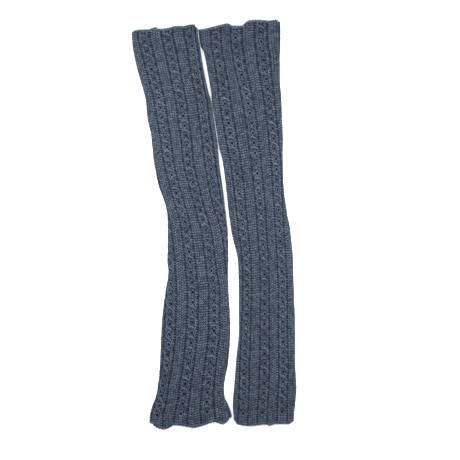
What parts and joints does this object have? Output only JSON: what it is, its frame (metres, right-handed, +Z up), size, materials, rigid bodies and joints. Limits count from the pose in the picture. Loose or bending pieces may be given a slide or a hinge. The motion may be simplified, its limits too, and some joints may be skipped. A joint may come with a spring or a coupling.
{
  "type": "pair of leg warmers",
  "caption": "Pair of cable-knit leg warmers: long open-ended tubes in ribs and mock cables, lying flat side by side.",
  "frame": {"origin": "on the surface that the pair lies on, under the middle of its outline", "axes": "+Z up out of that surface, +Y along the tubes towards their thigh ends, +X across from the one tube to the other"},
  "size_m": [0.2613, 0.6524, 0.0102],
  "materials": {
    "knitted_wool": "matt heathered steel-blue wool, knitted in ribs and mock cables"
  },
  "bodies": {
    "root": {"leg_warmer_left": "knitted_wool", "leg_warmer_right": "knitted_wool"}
  },
  "joints": []
}
